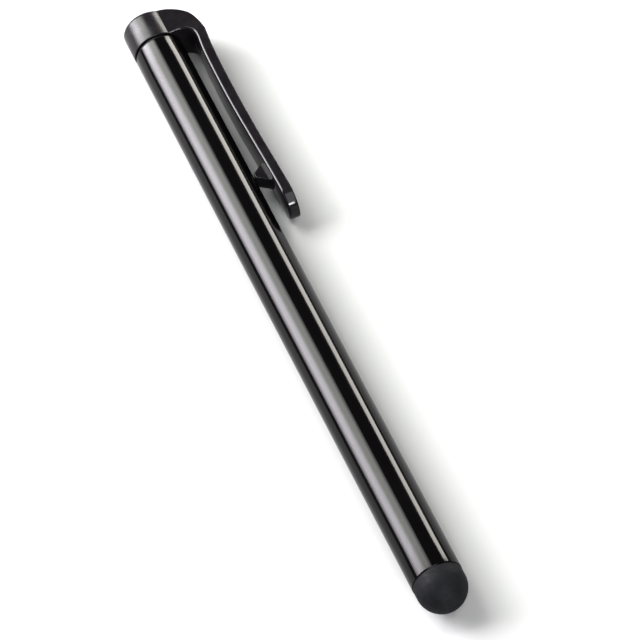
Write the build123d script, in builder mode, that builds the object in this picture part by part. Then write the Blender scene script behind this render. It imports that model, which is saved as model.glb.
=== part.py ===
from build123d import *
import math
import os

# Touchscreen stylus at rest on a table: a metal tube with a hollow rubber dome at its front end and a
# moulded cap with a pocket clip at its rear end. Sizes are in millimetres. +X runs from the cap to the
# tip, +Z is up, and the origin is under the middle of the stylus, on the table.

# Barrel
barrel_diameter = 7.0
barrel_wall = 0.5
barrel_length = 96.6
barrel_edge = 0.1

# Cap, measured from the barrel's rear edge
cap_reach = 5.25
cap_edge = 0.6
seam_gap = 0.5
spigot_radius = 2.25
barb_radius = 2.55
barb_length = 0.8

# Bush between the barrel and the cap's spigot, and the ring in the spigot's groove
press_clearance = 0.01
running_clearance = 0.05
bush_length = 8.0
flange_radius = 3.15
ring_section = 0.8
ring_station = 4.5
ring_clearance = 0.02

# Clip, as stations along the barrel and distances from the barrel's axis
slab_top = 5.05
slab_shoulder = 1.6
slab_corner = (-3.36, 5.26)
slab_reach = 6.9
neck_station = 4.0
neck_reach = 6.63
waist_station = 15.0
waist_reach = 6.46
flare_reach = 7.03
clip_half_width = 2.9
round_station = 31.85
arm_thickness = 1.47
arm_slope = 0.03
end_thickness = 1.75
end_step_station = 29.4
end_step_length = 0.9
end_step_reach = 5.46
underside_reach = 3.6
root_thickness = 1.52
root_corner = 1.4
root_drop = 0.75
clip_edge = 0.25
flex_station = 5.0

# Bead on the clip's inner face
bead_station = 27.0
bead_half_base = 2.3
bead_half_top = 0.35
bead_half_width = 1.1
bead_edge = 0.3
bead_clearance = 0.05

# Rubber tip and the plug that holds it, measured from the barrel's front edge
dome_radius = 3.44
dome_centre = 1.3
rubber_wall = 0.9
lip_thickness = 0.8
skirt_edge = 0.15
plug_neck_radius = 1.9
plug_head_radius = 2.4
plug_head_length = 0.5
plug_nose_height = 1.2
plug_length = 9.0
plug_chamfer = 0.4
rubber_clearance = 0.05

# Where things are
barrel_radius = barrel_diameter / 2
bore_radius = barrel_radius - barrel_wall
overall_length = cap_reach + barrel_length + dome_centre + dome_radius
rear_x = cap_reach - overall_length / 2
front_x = rear_x + barrel_length

# The stylus rests on the barrel and on the clip's lower corner, which turns the clip below level.
corner_reach = flare_reach - clip_edge
corner_across = clip_half_width - clip_edge
corner_distance = math.hypot(corner_reach, corner_across)
rest_roll = math.asin((barrel_radius - clip_edge) / corner_distance) - math.atan2(corner_across, corner_reach)
clip_out = (0, math.cos(rest_roll), -math.sin(rest_roll))
clip_across = (0, math.sin(rest_roll), math.cos(rest_roll))
widest_y = corner_reach * math.cos(rest_roll) + corner_across * math.sin(rest_roll) + clip_edge
axis_y = (barrel_radius - widest_y) / 2

inner_root = slab_reach - root_thickness
inner_neck = neck_reach - arm_thickness
inner_waist = waist_reach - arm_thickness
inner_end = flare_reach - end_thickness

pen_axis = Axis((0, axis_y, barrel_radius), (1, 0, 0))
rear_turning = Plane(origin=(rear_x, axis_y, barrel_radius), x_dir=(1, 0, 0), z_dir=(0, -1, 0))
front_turning = Plane(origin=(front_x, axis_y, barrel_radius), x_dir=(1, 0, 0), z_dir=(0, -1, 0))
clip_side = Plane(origin=(rear_x, axis_y, barrel_radius), x_dir=(1, 0, 0), z_dir=clip_across)
clip_plan = Plane(origin=(rear_x + round_station, axis_y, barrel_radius), x_dir=(1, 0, 0), z_dir=clip_out)
round_plane = Plane(origin=(rear_x + round_station, axis_y, barrel_radius), z_dir=(1, 0, 0))
flex_plane = Plane(origin=(rear_x + flex_station, axis_y, barrel_radius), z_dir=(1, 0, 0))

os.makedirs("parts", exist_ok=True)

# Barrel: a plain tube, open at both ends
with BuildPart() as barrel:
    with BuildSketch(rear_turning):
        with Locations((barrel_length / 2, bore_radius + barrel_wall / 2)):
            Rectangle(barrel_length, barrel_wall)
    revolve(axis=pen_axis)
    fillet(barrel.edges().filter_by(GeomType.CIRCLE).group_by(SortBy.RADIUS)[-1], barrel_edge)

# Cap bush: a sleeve pressed into the barrel, with the dark flange that shows in the seam
with BuildPart() as cap_bush:
    with BuildSketch(rear_turning):
        sleeve_radius = bore_radius - press_clearance
        bush_bore = spigot_radius + running_clearance
        with BuildLine():
            Polyline(
                (-seam_gap + running_clearance, bush_bore),
                (-seam_gap + running_clearance, flange_radius),
                (0, flange_radius),
                (0, sleeve_radius),
                (bush_length, sleeve_radius),
                (bush_length, bush_bore),
                close=True,
            )
        make_face()
    revolve(axis=pen_axis)

# Spigot ring: an elastic ring in the spigot's groove, which grips the bush
ring_outer = spigot_radius + running_clearance - ring_clearance
ring_mean = ring_outer - ring_section / 2
with BuildPart() as spigot_ring:
    with BuildSketch(rear_turning):
        with Locations((ring_station, ring_mean)):
            Circle(ring_section / 2)
    revolve(axis=pen_axis)

# Bead: the ridge on the clip's inner face that bears on the barrel
bead_top = barrel_radius + bead_clearance
bead_root = inner_waist + arm_thickness / 2
toward_clip = Axis((0, 0, 0), clip_out)
with BuildPart() as bead:
    with BuildSketch(clip_side.offset(-bead_half_width)):
        with BuildLine():
            Polyline(
                (bead_station - bead_half_base, bead_root),
                (bead_station - bead_half_top, bead_top),
                (bead_station + bead_half_top, bead_top),
                (bead_station + bead_half_base, bead_root),
                close=True,
            )
        make_face()
    extrude(amount=2 * bead_half_width)
    fillet(bead.edges() - bead.faces().sort_by(toward_clip)[-1].edges(), bead_edge)

# Round end of the clip: half a disc as wide as the clip
with BuildPart() as round_end:
    with BuildSketch(clip_plan.offset(inner_end)):
        Circle(clip_half_width)
    extrude(amount=end_thickness)
    fillet(round_end.edges().filter_by(GeomType.CIRCLE), clip_edge)
    split(bisect_by=round_plane, keep=Keep.TOP)

# Clip moulding: the slab beside the cap, the arm and the bead, cut in two where the arm flexes
with BuildPart() as moulding:
    with BuildSketch(clip_side.offset(-clip_half_width)):
        with BuildLine():
            Line((-seam_gap, 0), (-slab_top, 0))
            Line((-slab_top, 0), (-slab_top, slab_shoulder))
            Spline((-slab_top, slab_shoulder), slab_corner, (0, slab_reach), tangents=((0, 1), (1, 0)))
            Spline(
                (0, slab_reach),
                (neck_station, neck_reach),
                (waist_station, waist_reach),
                (round_station, flare_reach),
                tangents=((1, 0), (1, arm_slope)),
            )
            Line((round_station, flare_reach), (round_station, inner_end))
            Line((round_station, inner_end), (end_step_station + end_step_length, inner_end))
            Spline(
                (end_step_station + end_step_length, inner_end),
                (end_step_station, end_step_reach),
                tangents=((-1, 0), (-1, 0)),
            )
            Spline(
                (end_step_station, end_step_reach),
                (waist_station, inner_waist),
                (neck_station, inner_neck),
                (root_corner, inner_root),
                tangents=((-1, -arm_slope), (-1, 0)),
            )
            Spline((root_corner, inner_root), (0, inner_root - root_drop), tangents=((-1, 0), (-0.4, -1)))
            Line((0, inner_root - root_drop), (-seam_gap, underside_reach))
            Line((-seam_gap, underside_reach), (-seam_gap, 0))
        make_face()
    extrude(amount=2 * clip_half_width)
    sides = moulding.faces().sort_by(Axis((0, 0, 0), clip_across))
    outline = (sides[-1].edges() + sides[0].edges()).sort_by(Axis.X)
    fillet(outline[:-2], clip_edge)
    add(round_end.part)

with BuildPart() as slab:
    add(moulding.part)
    split(bisect_by=flex_plane, keep=Keep.BOTTOM)

# Clip arm: the part of the moulding that flexes, with its bead
with BuildPart() as clip_arm:
    add(moulding.part)
    split(bisect_by=flex_plane, keep=Keep.TOP)
    add(bead.part)

# Cap: the head, the slab and the spigot, whose barb snaps behind the bush
groove_half_width = ring_section / 2 + running_clearance
groove_floor = ring_mean - ring_section / 2 - ring_clearance
with BuildPart() as cap:
    with BuildSketch(rear_turning):
        with BuildLine():
            Polyline(
                (-cap_reach, 0),
                (-cap_reach, barrel_radius),
                (-seam_gap, barrel_radius),
                (-seam_gap, spigot_radius),
                (ring_station - groove_half_width, spigot_radius),
                (ring_station - groove_half_width, groove_floor),
                (ring_station + groove_half_width, groove_floor),
                (ring_station + groove_half_width, spigot_radius),
                (bush_length + running_clearance, spigot_radius),
                (bush_length + running_clearance, barb_radius),
                (bush_length + barb_length, spigot_radius),
                (bush_length + barb_length, 0),
                close=True,
            )
        make_face()
    revolve(axis=pen_axis)
    fillet(cap.edges().filter_by(GeomType.CIRCLE).sort_by(Axis.X)[0], cap_edge)
    add(slab.part)

# Tip holder: a turned plug pressed into the barrel, with a head inside the rubber tip
head_start = lip_thickness + rubber_clearance
head_end = head_start + plug_head_length
nose_radius = (plug_head_radius**2 + plug_nose_height**2) / (2 * plug_nose_height)
nose_angle = math.degrees(math.asin(plug_head_radius / nose_radius))
with BuildPart() as tip_holder:
    with BuildSketch(front_turning):
        with BuildLine():
            Polyline(
                (head_end + plug_nose_height, 0),
                (-plug_length, 0),
                (-plug_length, sleeve_radius - plug_chamfer),
                (plug_chamfer - plug_length, sleeve_radius),
                (0, sleeve_radius),
                (0, plug_neck_radius),
                (head_start, plug_neck_radius),
                (head_start, plug_head_radius),
                (head_end, plug_head_radius),
            )
            CenterArc((head_end + plug_nose_height - nose_radius, 0), nose_radius, 0, nose_angle)
        make_face()
    revolve(axis=pen_axis)

# Rubber tip: a hollow dome whose lip is trapped between the barrel and the plug's head
lip_bore = plug_neck_radius + rubber_clearance
cavity_radius = dome_radius - rubber_wall
with BuildPart() as rubber_tip:
    with BuildSketch(front_turning):
        with BuildLine():
            CenterArc((dome_centre, 0), dome_radius, 0, 90)
            Polyline(
                (dome_centre, dome_radius),
                (skirt_edge, dome_radius),
                (0, dome_radius - skirt_edge),
                (0, lip_bore),
                (lip_thickness, lip_bore),
                (lip_thickness, cavity_radius),
                (dome_centre, cavity_radius),
            )
            CenterArc((dome_centre, 0), cavity_radius, 0, 90)
            Line((dome_centre + cavity_radius, 0), (dome_centre + dome_radius, 0))
        make_face()
    revolve(axis=pen_axis)

barrel.part.label = "barrel"
cap_bush.part.label = "cap_bush"
spigot_ring.part.label = "spigot_ring"
cap.part.label = "cap"
clip_arm.part.label = "clip_arm"
tip_holder.part.label = "tip_holder"
rubber_tip.part.label = "rubber_tip"

for piece in (barrel, cap_bush, spigot_ring, cap, clip_arm, tip_holder, rubber_tip):
    export_step(piece.part, f"parts/{piece.part.label}.step")
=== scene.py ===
import bmesh
import bpy
import math
from mathutils import Matrix, Vector
from mathutils.geometry import interpolate_bezier


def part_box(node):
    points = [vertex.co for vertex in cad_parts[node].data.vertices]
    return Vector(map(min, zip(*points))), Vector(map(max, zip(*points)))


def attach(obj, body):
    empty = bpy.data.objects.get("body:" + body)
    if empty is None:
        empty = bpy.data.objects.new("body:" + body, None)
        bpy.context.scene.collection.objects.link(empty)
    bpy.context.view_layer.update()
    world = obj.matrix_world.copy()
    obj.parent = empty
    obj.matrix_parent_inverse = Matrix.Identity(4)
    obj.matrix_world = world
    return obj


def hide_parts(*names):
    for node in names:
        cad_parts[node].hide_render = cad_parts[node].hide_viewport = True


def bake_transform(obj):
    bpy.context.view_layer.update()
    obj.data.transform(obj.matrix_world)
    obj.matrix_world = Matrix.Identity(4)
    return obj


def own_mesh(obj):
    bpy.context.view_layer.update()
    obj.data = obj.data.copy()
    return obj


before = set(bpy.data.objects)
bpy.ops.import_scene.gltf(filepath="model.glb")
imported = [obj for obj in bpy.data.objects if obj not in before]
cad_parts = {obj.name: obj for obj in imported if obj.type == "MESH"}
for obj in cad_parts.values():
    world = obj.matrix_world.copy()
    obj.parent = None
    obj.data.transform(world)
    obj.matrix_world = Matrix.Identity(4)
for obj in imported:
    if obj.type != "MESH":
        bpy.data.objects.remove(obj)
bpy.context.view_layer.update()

MM = 0.001
MICRON = 0.001 * MM

# The barrel gives the pen its axis, its radius and its two ends.
barrel_low, barrel_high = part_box("barrel")
barrel_radius = (barrel_high.z - barrel_low.z) / 2
axis_y = (barrel_low.y + barrel_high.y) / 2
axis_z = (barrel_low.z + barrel_high.z) / 2
rear_x = barrel_low.x
barrel_length = barrel_high.x - barrel_low.x
barrel_wall = 0.5 * MM
barrel_lip = 0.12 * MM

# Cap head and its spigot, measured from the barrel's rear edge
cap_reach = 5.25 * MM
cap_edge = 0.6 * MM
cap_seam_edge = 0.12 * MM
seam_gap = 0.5 * MM
spigot_radius = 2.25 * MM
spigot_sink = 0.6 * MM
groove_start, groove_end, groove_depth = 4.05 * MM, 4.95 * MM, 0.78 * MM
barb_start, barb_end, barb_radius = 8.05 * MM, 8.8 * MM, 2.55 * MM

# Clip, as stations along the barrel and distances from the barrel's axis
slab_top = 5.05 * MM
slab_shoulder = 1.6 * MM
hook_reach = 6.98 * MM
hook_rise, hook_run = 2.27 * MM, 2.6 * MM
root_reach = 3.3 * MM
root_end, root_end_reach = 1.4 * MM, 5.38 * MM
root_rise, root_run = 1.3 * MM, 1.1 * MM
root_lean = 0.15 * MM
outer_stations = [(0, 6.98), (4, 6.73), (8.5, 6.6), (15, 6.57), (22.4, 6.7), (28, 6.91), (31.85, 7.03)]
inner_stations = [(1.4, 5.38), (4, 5.16), (8.5, 5.01), (15, 4.99), (22.4, 5.2), (29.4, 5.42), (31.85, 5.45)]
round_station = 31.85 * MM
clip_half_width = 2.9 * MM
outer_edge, inner_edge = 0.12 * MM, 0.34 * MM
crown = 0.03 * MM
settle_end = 3 * root_end
skin_inset = 0.012 * MM  # a skin this much narrower than the CAD clip stays above the table
pad_start, pad_full, pad_height = 28.8 * MM, 30.8 * MM, 0.2 * MM
base_reach = 0.2 * MM
slab_steps, hook_steps, arm_steps, turn_steps = 3, 22, 60, 40
stretch_start = 0.6

# Bead on the clip's inner face
bead_station = 27.0 * MM
bead_half_base = 2.3 * MM
bead_half_top = 0.35 * MM
bead_half_width = 1.1 * MM
bead_clearance = 0.05 * MM
bead_sink = 0.6 * MM
bead_edge = 0.13 * MM

# Rubber tip, measured from the barrel's front edge
dome_radius = 3.44 * MM
dome_centre = 1.3 * MM
rubber_wall = 0.9 * MM
lip_thickness = 0.8 * MM
lip_bore = 1.95 * MM
skirt_edge = 0.15 * MM

# The clip's plane is rolled below level, so that the CAD clip's lower corner meets the table.
flare_reach = 7.03 * MM
rest_edge = 0.25 * MM
corner_reach, corner_across = flare_reach - rest_edge, clip_half_width - rest_edge
corner_distance = math.hypot(corner_reach, corner_across)
corner_angle = math.atan2(corner_across, corner_reach)
rest_roll = math.asin((barrel_radius - rest_edge) / corner_distance) - corner_angle
clip_out = Vector((0, math.cos(rest_roll), -math.sin(rest_roll)))
clip_across = Vector((0, math.sin(rest_roll), math.cos(rest_roll)))


def at(x, out, across=0.0):
    """A point in the frame, from its station past the barrel's rear edge and its place about the axis."""
    return Vector((rear_x + x, axis_y, axis_z)) + out * clip_out + across * clip_across


def arc(centre_x, centre_r, radius, start, end, steps):
    """Points of an arc in a turned profile, with its angles in degrees."""
    points = []
    for i in range(steps + 1):
        angle = math.radians(start + (end - start) * i / steps)
        points.append((centre_x + radius * math.cos(angle), centre_r + radius * math.sin(angle)))
    return points


def object_from(name, vertices, faces):
    mesh = bpy.data.meshes.new(name)
    mesh.from_pydata([tuple(v) for v in vertices], [], faces)
    mesh.validate()
    obj = bpy.data.objects.new(name, mesh)
    bpy.context.scene.collection.objects.link(obj)
    return obj


def finish_mesh(obj, sharp_angle=32, merge_distance=1e-7):
    """Merges doubles, makes the faces point outward and shades them smooth, apart from real edges."""
    bm = bmesh.new()
    bm.from_mesh(obj.data)
    bmesh.ops.remove_doubles(bm, verts=bm.verts, dist=merge_distance)
    bmesh.ops.recalc_face_normals(bm, faces=bm.faces)
    bm.to_mesh(obj.data)
    bm.free()
    obj.data.polygons.foreach_set("use_smooth", [True] * len(obj.data.polygons))
    obj.data.set_sharp_from_angle(angle=math.radians(sharp_angle))
    obj.data.update()
    return obj


def lathe(name, profile, segments=192):
    """A closed profile of (station, radius) turned about the pen's axis. Radius 0 makes a pole."""
    vertices, rings = [], []
    for x, radius in profile:
        if radius == 0:
            rings.append([len(vertices)])
            vertices.append(at(x, 0))
            continue
        rings.append(list(range(len(vertices), len(vertices) + segments)))
        for i in range(segments):
            angle = 2 * math.pi * i / segments
            vertices.append(at(x, radius * math.cos(angle), radius * math.sin(angle)))
    faces = []
    for a, b in zip(rings, rings[1:] + rings[:1]):
        for i in range(segments):
            j = (i + 1) % segments
            if len(a) > 1 and len(b) > 1:
                faces.append((a[i], a[j], b[j], b[i]))
            elif len(a) > 1:
                faces.append((a[i], a[j], b[0]))
            elif len(b) > 1:
                faces.append((a[0], b[j], b[i]))
    return finish_mesh(object_from(name, vertices, faces))


def smooth_through(stations, x):
    """A smooth curve through (station, value) points in millimetres, read at x in metres.

    It is level at its first point.
    """
    x = x / MM
    xs = [station for station, _ in stations]
    ys = [value for _, value in stations]
    slopes = [(ys[i + 1] - ys[i]) / (xs[i + 1] - xs[i]) for i in range(len(xs) - 1)]
    tangents = [0]
    for before, after in zip(slopes, slopes[1:]):
        tangents.append((before + after) / 2)
    tangents.append(slopes[-1])
    i = max(k for k in range(len(xs) - 1) if k == 0 or xs[k] <= x)
    span = xs[i + 1] - xs[i]
    t = min(max((x - xs[i]) / span, 0), 1)
    rest = 1 - t
    value = (1 + 2 * t) * rest * rest * ys[i] + t * t * (3 - 2 * t) * ys[i + 1]
    value += span * (t * rest * rest * tangents[i] - t * t * rest * tangents[i + 1])
    return value * MM


def smoothstep(low, high, x):
    t = min(max((x - low) / (high - low), 0), 1)
    return t * t * (3 - 2 * t)


def half_section(length, outer_crown, inner_crown, corner_steps=6, flat_steps=5):
    """Half of a rounded bar's section, from the middle of its outer face to the middle of its inner face.

    Gives points of (depth below the outer face, distance across).
    """
    points = []
    outer_flat = clip_half_width - skin_inset - outer_edge
    inner_flat = clip_half_width - skin_inset - inner_edge
    for i in range(flat_steps):
        u = i / flat_steps
        points.append((outer_crown * u * u, outer_flat * u))
    for i in range(corner_steps + 1):
        angle = math.radians(90 * i / corner_steps)
        depth = outer_crown + outer_edge * (1 - math.cos(angle))
        points.append((depth, outer_flat + outer_edge * math.sin(angle)))
    for i in range(corner_steps + 1):
        angle = math.radians(90 * i / corner_steps)
        depth = length - inner_edge * (1 - math.sin(angle))
        points.append((depth, inner_flat + inner_edge * math.cos(angle)))
    for i in range(flat_steps - 1, -1, -1):
        u = i / flat_steps
        points.append((length + inner_crown * (1 - u * u), inner_flat * u))
    return points


def hook_pairs():
    """Outer and inner points of the slab and the hook, as far as the arm, in (station, reach)."""
    shares = [i / slab_steps for i in range(slab_steps)]
    outer_line = [(-slab_top, base_reach + (slab_shoulder - base_reach) * share) for share in shares]
    inner_line = [(-seam_gap, base_reach + (root_reach - base_reach) * share) for share in shares]
    outer_curve = interpolate_bezier(
        Vector((-slab_top, slab_shoulder)),
        Vector((-slab_top, slab_shoulder + hook_rise)),
        Vector((-hook_run, hook_reach)),
        Vector((0, hook_reach)),
        hook_steps,
    )
    inner_curve = interpolate_bezier(
        Vector((-seam_gap, root_reach)),
        Vector((-seam_gap + root_lean, root_reach + root_rise)),
        Vector((root_end - root_run, root_end_reach)),
        Vector((root_end, root_end_reach)),
        hook_steps,
    )
    # The outer curve's last stretch is drawn out, so that it ends over the inner curve's end.
    for i in range(hook_steps - 1):
        spread = smoothstep(stretch_start, 1, i / (hook_steps - 1)) * root_end
        outer_curve[i].x += spread
    outer_curve[-1] = Vector((root_end, smooth_through(outer_stations, root_end)))
    return list(zip(outer_line, inner_line)) + list(zip(outer_curve, inner_curve))


def arm_section(x):
    """The arm's half section at x. Its crown and the end's pad grow from nothing."""
    outer = smooth_through(outer_stations, x)
    inner = smooth_through(inner_stations, x)
    pad = pad_height * smoothstep(pad_start, pad_full, x)
    settle = smoothstep(root_end, settle_end, x)
    half = half_section(outer - inner, crown * settle, (crown + pad) * settle)
    return [(Vector((x, outer - depth)), across) for depth, across in half]


def clip_bar():
    """The slab, the hook, the arm and its round end as one closed surface."""
    sections = []
    for outer, inner in hook_pairs():
        outer, inner = Vector(outer), Vector(inner)
        length = (inner - outer).length
        along = (inner - outer) / length
        half = half_section(length, outer_crown=0, inner_crown=0)
        sections.append([(outer + along * depth, across) for depth, across in half])
    for i in range(1, arm_steps + 1):
        x = root_end + (round_station - root_end) * i / arm_steps
        sections.append(arm_section(x))

    # Each section makes one loop, with its second half mirrored from the first.
    vertices, loops = [], []
    for section in sections:
        loop = []
        for (x, reach), across in section:
            loop.append(len(vertices))
            vertices.append(at(x, reach, across))
        for (x, reach), across in reversed(section[1:-1]):
            loop.append(len(vertices))
            vertices.append(at(x, reach, -across))
        loops.append(loop)
    faces = []
    for a, b in zip(loops, loops[1:]):
        for i in range(len(a)):
            j = (i + 1) % len(a)
            faces.append((a[i], a[j], b[j], b[i]))
    faces.append(tuple(reversed(loops[0])))

    # The round end is the last section, turned half a circle about the clip's middle line.
    last = sections[-1]
    fans = []
    for k in range(turn_steps + 1):
        angle = math.pi * k / turn_steps
        fan = []
        for (x, reach), across in last:
            fan.append(len(vertices))
            vertices.append(at(x + across * math.sin(angle), reach, across * math.cos(angle)))
        fans.append(fan)
    for a, b in zip(fans, fans[1:]):
        for i in range(len(a) - 1):
            corners = [a[i], a[i + 1], b[i + 1], b[i]]
            if i == 0:
                corners = [a[0], a[1], b[1]]
            if i == len(a) - 2:
                corners = [a[i], a[i + 1], b[i]]
            faces.append(tuple(corners))
    return object_from("clip_bar", vertices, faces)


def apply_modifier(obj, kind, **settings):
    """Adds one modifier, keeps its result as the mesh and removes it."""
    modifier = obj.modifiers.new(kind.lower(), kind)
    for name, value in settings.items():
        setattr(modifier, name, value)
    graph = bpy.context.evaluated_depsgraph_get()
    graph.update()
    mesh = bpy.data.meshes.new_from_object(obj.evaluated_get(graph))
    obj.modifiers.clear()
    obj.data = mesh
    mesh.name = obj.name
    return obj


def bead():
    """The ridge that bears on the barrel: a wedge with a flat nose, its edges rounded."""
    top = barrel_radius + bead_clearance
    root = smooth_through(inner_stations, bead_station) + bead_sink
    profile = [
        (bead_station - bead_half_base, root),
        (bead_station - bead_half_top, top),
        (bead_station + bead_half_top, top),
        (bead_station + bead_half_base, root),
    ]
    count = len(profile)
    vertices = [at(x, reach, side * bead_half_width) for side in (-1, 1) for x, reach in profile]
    faces = [tuple(range(count)), tuple(range(2 * count - 1, count - 1, -1))]
    faces += [(i, (i + 1) % count, count + (i + 1) % count, count + i) for i in range(count)]
    obj = finish_mesh(object_from("bead", vertices, faces))
    apply_modifier(obj, "BEVEL", width=bead_edge, segments=5, limit_method="ANGLE")
    return obj


def join_solid(obj, other):
    """Makes one closed surface of two solids that overlap."""
    apply_modifier(obj, "BOOLEAN", operation="UNION", solver="EXACT", object=other)
    bpy.data.objects.remove(other)
    return obj


# ---------------------------------------------------------------------------------------------- pieces

inner_radius = barrel_radius - barrel_wall
barrel_rings = 24
tube_profile = [(0, inner_radius + barrel_lip)]
tube_profile += arc(barrel_lip, barrel_radius - barrel_lip, barrel_lip, 180, 90, 5)
tube_profile += [(barrel_length * i / barrel_rings, barrel_radius) for i in range(1, barrel_rings)]
tube_profile += arc(barrel_length - barrel_lip, barrel_radius - barrel_lip, barrel_lip, 90, 0, 5)
tube_profile += [(barrel_length, inner_radius + barrel_lip), (barrel_length - barrel_lip, inner_radius)]
tube_profile += [(barrel_lip, inner_radius)]
tube = lathe("barrel_tube", tube_profile)

head_profile = [(-cap_reach, 0), (-cap_reach, (barrel_radius - cap_edge) / 2)]
head_profile += arc(-cap_reach + cap_edge, barrel_radius - cap_edge, cap_edge, 180, 90, 10)
head_profile += arc(-seam_gap - cap_seam_edge, barrel_radius - cap_seam_edge, cap_seam_edge, 90, 0, 4)
head_profile += [(-seam_gap, 0)]
moulding = lathe("cap_and_clip", head_profile)
bar = clip_bar()
finish_mesh(bar)
join_solid(bar, bead())
join_solid(moulding, bar)
finish_mesh(moulding)

spigot_profile = [
    (-seam_gap - spigot_sink, 0),
    (-seam_gap - spigot_sink, spigot_radius),
    (groove_start, spigot_radius),
    (groove_start, spigot_radius - groove_depth),
    (groove_end, spigot_radius - groove_depth),
    (groove_end, spigot_radius),
    (barb_start, spigot_radius),
    (barb_start, barb_radius),
    (barb_end, spigot_radius),
    (barb_end, 0),
]
spigot = lathe("cap_spigot", spigot_profile, segments=96)

front = barrel_length
cavity = dome_radius - rubber_wall
dome_profile = [(front, lip_bore), (front, dome_radius - skirt_edge)]
dome_profile += arc(front + skirt_edge, dome_radius - skirt_edge, skirt_edge, 180, 90, 4)
dome_profile += arc(front + dome_centre, 0, dome_radius, 90, 0, 40)
dome_profile += arc(front + dome_centre, 0, cavity, 0, 90, 20)
dome_profile += [(front + lip_thickness, cavity), (front + lip_thickness, lip_bore)]
rubber = lathe("rubber_dome", dome_profile)


# ------------------------------------------------------------------------------------------- materials


class Shader:
    """A material's node tree, with short ways to add the nodes that the finishes share.

    A noise's scale is in waves per metre, and a bump's distance is in metres.
    """

    def __init__(self, name):
        self.material = bpy.data.materials.new(name)
        self.material.use_nodes = True
        self.nodes = self.material.node_tree.nodes
        self.links = self.material.node_tree.links
        self.surface = self.nodes["Principled BSDF"]
        self.place = self.nodes.new("ShaderNodeTexCoord").outputs["Object"]

    def set(self, **values):
        for name, value in values.items():
            self.surface.inputs[name.replace("_", " ")].default_value = value

    def stretched(self, scale):
        mapping = self.nodes.new("ShaderNodeMapping")
        mapping.inputs["Scale"].default_value = scale
        self.links.new(self.place, mapping.inputs["Vector"])
        return mapping.outputs["Vector"]

    def noise(self, scale, detail=4, stretch=(1, 1, 1), roughness=0.55):
        node = self.nodes.new("ShaderNodeTexNoise")
        node.inputs["Scale"].default_value = scale
        node.inputs["Detail"].default_value = detail
        node.inputs["Roughness"].default_value = roughness
        self.links.new(self.stretched(stretch), node.inputs["Vector"])
        return node.outputs["Fac"]

    def span(self, value, low, high, out_low=0, out_high=1):
        """Maps a value from low..high to out_low..out_high."""
        node = self.nodes.new("ShaderNodeMapRange")
        node.inputs["From Min"].default_value = low
        node.inputs["From Max"].default_value = high
        node.inputs["To Min"].default_value = out_low
        node.inputs["To Max"].default_value = out_high
        self.links.new(value, node.inputs["Value"])
        return node.outputs["Result"]

    def colours(self, value, dark, light):
        node = self.nodes.new("ShaderNodeMix")
        node.data_type = "RGBA"
        node.inputs["A"].default_value = (*dark, 1)
        node.inputs["B"].default_value = (*light, 1)
        self.links.new(value, node.inputs["Factor"])
        return node.outputs["Result"]

    def link(self, value, socket):
        self.links.new(value, self.surface.inputs[socket])

    def base(self, share, dark, light):
        self.link(self.colours(share, dark, light), "Base Color")

    def roughness(self, value, low, high, smooth, rough):
        self.link(self.span(value, low, high, smooth, rough), "Roughness")

    def bump(self, height, distance, strength=1.0, under=None):
        node = self.nodes.new("ShaderNodeBump")
        node.inputs["Distance"].default_value = distance
        node.inputs["Strength"].default_value = strength
        self.links.new(height, node.inputs["Height"])
        if under is not None:
            self.links.new(under, node.inputs["Normal"])
        self.link(node.outputs["Normal"], "Normal")
        return node.outputs["Normal"]


def barrel_finish():
    """Glossy gunmetal black coating with faint drawn lines and light handling marks."""
    shader = Shader("barrel_coating")
    shader.set(IOR=1.34)
    tone = shader.span(shader.noise(90, detail=3), 0.35, 0.7)
    shader.base(tone, (0.0012, 0.0008, 0.0012), (0.0022, 0.0017, 0.002))
    smears = shader.noise(160, detail=5, stretch=(0.35, 1, 1))
    shader.roughness(smears, 0.4, 0.75, smooth=0.1, rough=0.15)
    drawn = shader.noise(5000, detail=2, stretch=(0.01, 1, 1))
    under = shader.bump(drawn, 0.6 * MICRON, 0.5)
    ripple = shader.noise(220, detail=1, stretch=(0.25, 1, 1))
    shader.bump(ripple, 4 * MICRON, 0.4, under)
    return shader.material


def moulded_black(name, smooth, rough, grain_strength):
    """Moulded black with a fine grain, slow flow marks and patches of different gloss."""
    shader = Shader(name)
    shader.set(IOR=1.38)
    tone = shader.span(shader.noise(420, detail=5), 0.35, 0.7)
    shader.base(tone, (0.008, 0.0072, 0.0088), (0.0145, 0.0125, 0.014))
    shader.roughness(shader.noise(330, detail=5), 0.35, 0.7, smooth, rough)
    grain = shader.noise(9000, detail=3)
    under = shader.bump(grain, 2 * MICRON, grain_strength)
    flow = shader.noise(500, detail=2, stretch=(0.4, 1, 1))
    shader.bump(flow, 6 * MICRON, 0.25, under)
    return shader.material


def rubber_finish():
    """Matt charcoal rubber with a fine skin texture and slightly uneven tone."""
    shader = Shader("tip_rubber_skin")
    shader.set(IOR=1.27)
    tone = shader.span(shader.noise(700, detail=6), 0.3, 0.75)
    shader.base(tone, (0.0065, 0.0067, 0.0088), (0.0135, 0.014, 0.017))
    shader.roughness(shader.noise(2600, detail=5), 0.3, 0.7, smooth=0.55, rough=0.75)
    under = shader.bump(shader.noise(7000, detail=4), 8 * MICRON, 0.35)
    shader.bump(shader.noise(900, detail=3), 10 * MICRON, 0.25, under)
    return shader.material


def nylon_finish():
    """Black nylon with an even grain."""
    shader = Shader("bush_black_nylon")
    shader.base(shader.noise(800, detail=4), (0.004, 0.004, 0.004), (0.012, 0.012, 0.012))
    shader.roughness(shader.noise(1500), 0.3, 0.7, smooth=0.4, rough=0.6)
    shader.bump(shader.noise(6000), 4 * MICRON, 0.3)
    return shader.material


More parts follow.
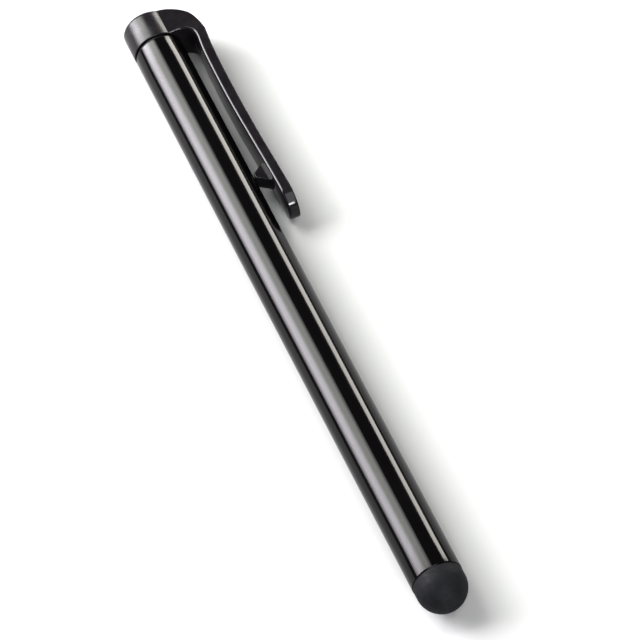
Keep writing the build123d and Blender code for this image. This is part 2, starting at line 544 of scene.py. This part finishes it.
def ring_finish():
    """Black rubber, a little shinier than the nylon."""
    shader = Shader("ring_black_rubber")
    shader.base(shader.noise(1500, detail=4), (0.008, 0.008, 0.008), (0.02, 0.02, 0.02))
    shader.roughness(shader.noise(3000), 0.3, 0.7, smooth=0.35, rough=0.55)
    shader.bump(shader.noise(8000), 4 * MICRON, 0.3)
    return shader.material


def brass_finish():
    """Turned brass: rings left by the tool, and tarnish in patches."""
    shader = Shader("holder_turned_brass")
    shader.set(Metallic=1.0)
    tone = shader.span(shader.noise(300, detail=5), 0.35, 0.7)
    shader.base(tone, (0.5, 0.33, 0.13), (0.78, 0.58, 0.28))
    shader.roughness(shader.noise(900), 0.3, 0.7, smooth=0.2, rough=0.38)
    shader.bump(shader.noise(7000, detail=2, stretch=(1, 0.02, 0.02)), 4 * MICRON, 0.4)
    return shader.material


def dress(obj, material):
    obj.data.materials.clear()
    obj.data.materials.append(material)


head_satin = moulded_black("head_satin", smooth=0.24, rough=0.36, grain_strength=0.4)
clip_gloss = moulded_black("clip_gloss", smooth=0.09, rough=0.15, grain_strength=0.12)
dress(tube, barrel_finish())
dress(moulding, clip_gloss)
moulding.data.materials.append(head_satin)

# The round head is satin, the slab and the arm are glossier, and the bead's and the slab's sides are flat.
bead_root = smooth_through(inner_stations, bead_station)
head_margin = 0.01 * MM
flat_alignment = 0.9999
for face in moulding.data.polygons:
    away = math.hypot(face.center.y - axis_y, face.center.z - axis_z)
    side_on = abs(face.normal.dot(clip_across)) > flat_alignment
    on_head = away < barrel_radius + head_margin and face.center.x < rear_x
    reach = (face.center - at(0, 0)).dot(clip_out)
    face.use_smooth = not side_on or reach > bead_root
    face.material_index = 1 if on_head and not side_on else 0
dress(spigot, head_satin)
dress(rubber, rubber_finish())
dress(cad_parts["cap_bush"], nylon_finish())
dress(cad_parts["spigot_ring"], ring_finish())
dress(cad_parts["tip_holder"], brass_finish())

# --------------------------------------------------------------------------------------------- motion

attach(tube, "barrel_body")
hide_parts("barrel")

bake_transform(moulding)
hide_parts("cap", "clip_arm")

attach(spigot, "cap_body")

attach(rubber, "barrel_body")
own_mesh(rubber)
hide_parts("rubber_tip")

# ---------------------------------------------------------------------------------------------- stage


def camera(target, elevation, azimuth, roll, distance, lens):
    direction = Vector((
        math.cos(elevation) * math.cos(azimuth),
        math.cos(elevation) * math.sin(azimuth),
        math.sin(elevation),
    ))
    data = bpy.data.cameras.new("camera")
    data.lens = lens
    data.sensor_width = 36
    data.clip_start = 0.01
    obj = bpy.data.objects.new("camera", data)
    bpy.context.scene.collection.objects.link(obj)
    look = (-direction).to_track_quat("-Z", "Y").to_matrix().to_4x4()
    turn = look @ Matrix.Rotation(roll, 4, "Z")
    obj.matrix_world = Matrix.Translation(target + distance * direction) @ turn
    bpy.context.scene.camera = obj


camera(
    target=Vector((4.65, 0.46, 3.5)) * MM,
    elevation=math.radians(55.4),
    azimuth=math.radians(-6.73),
    roll=math.radians(-19.83),
    distance=552.14 * MM,
    lens=233.1,
)


def floor(half_side):
    """A square of matt grey paper, which the lights show nearly white."""
    corners = [(-half_side, -half_side, 0), (half_side, -half_side, 0)]
    corners += [(half_side, half_side, 0), (-half_side, half_side, 0)]
    obj = object_from("floor", corners, [(0, 1, 2, 3)])
    shader = Shader("floor_paper")
    shader.set(Roughness=0.9)
    shader.base(shader.noise(3), (0.395, 0.395, 0.395), (0.405, 0.405, 0.405))
    dress(obj, shader.material)


floor(half_side=3.0)


def softbox(name, turn, lean, distance, width, length, radiance, colour=(1, 1, 1)):
    """A rectangular light that faces the pen.

    turn is its place about the pen's axis, from +Y towards +Z, and lean is how far it stands towards the
    cap, both in degrees. Its width spans the turn and its length lies along the pen.
    """
    turn, lean = math.radians(turn), math.radians(lean)
    direction = Vector((
        -math.sin(lean),
        math.cos(lean) * math.cos(turn),
        math.cos(lean) * math.sin(turn),
    ))
    data = bpy.data.lights.new(name, "AREA")
    data.shape = "RECTANGLE"
    data.size = width
    data.size_y = length
    data.energy = radiance * math.pi * width * length
    data.color = colour
    obj = bpy.data.objects.new(name, data)
    bpy.context.scene.collection.objects.link(obj)
    side = Vector((0, -math.sin(turn), math.cos(turn)))
    basis = Matrix((side, direction.cross(side), direction)).transposed()
    place = Vector((0, axis_y, axis_z)) + distance * direction
    obj.matrix_world = Matrix.Translation(place) @ basis.to_4x4()


# Lights at this lean are the ones that the camera sees mirrored in the barrel.
mirror_lean = 34.6
mirror_distance = 0.7

# The key is a row of strips. It comes up quickly from its lower edge and is dimmer in its upper half.
key_low, key_high, key_strips = 164.0, 87.0, 10
key_length = 0.44
key_radiance = 23.0
key_edge = 0.35
edge_span, upper_span, top_span = (0, 0.25), (0.42, 0.64), (0.82, 1.0)
upper_drop, top_drop = 0.44, 0.36
strip_turn = math.radians(key_low - key_high) / key_strips
strip_width = mirror_distance * strip_turn * math.cos(math.radians(mirror_lean))
lavender, pale_green = (1.0, 0.97, 1.02), (0.98, 1.0, 0.96)
for i in range(key_strips):
    share = (i + 0.5) / key_strips
    rise = key_edge + (1 - key_edge) * smoothstep(*edge_span, share)
    fall = 1 - upper_drop * smoothstep(*upper_span, share) - top_drop * smoothstep(*top_span, share)
    softbox(
        f"key_{i}",
        turn=key_low + (key_high - key_low) * share,
        lean=mirror_lean,
        distance=mirror_distance,
        width=strip_width,
        length=key_length,
        radiance=key_radiance * rise * fall,
        colour=lavender if share < 0.5 else pale_green,
    )

# The narrow bright line on the barrel's clip side
softbox(
    "low_strip",
    turn=21.3,
    lean=mirror_lean,
    distance=mirror_distance,
    width=0.21,
    length=0.36,
    radiance=16.5,
    colour=(1.0, 0.98, 0.92),
)

# The small highlight on the clip's round end
softbox("front_box", turn=85.0, lean=-70.5, distance=0.9, width=0.38, length=0.17, radiance=36.0)

# Lifts the shadows. At this lean the camera doesn't see it mirrored in the barrel.
softbox(
    "fill",
    turn=80.0,
    lean=-38.0,
    distance=1.2,
    width=0.6,
    length=1.3,
    radiance=3.6,
    colour=(0.97, 0.98, 1.0),
)

world = bpy.data.worlds.new("studio")
bpy.context.scene.world = world
world.use_nodes = True
background = world.node_tree.nodes["Background"]
background.inputs["Color"].default_value = (0.96, 0.98, 1, 1)
background.inputs["Strength"].default_value = 0.24

view = bpy.context.scene.view_settings
view.view_transform = "Standard"
view.gamma = 0.8  # deepens the blacks, as in the photograph
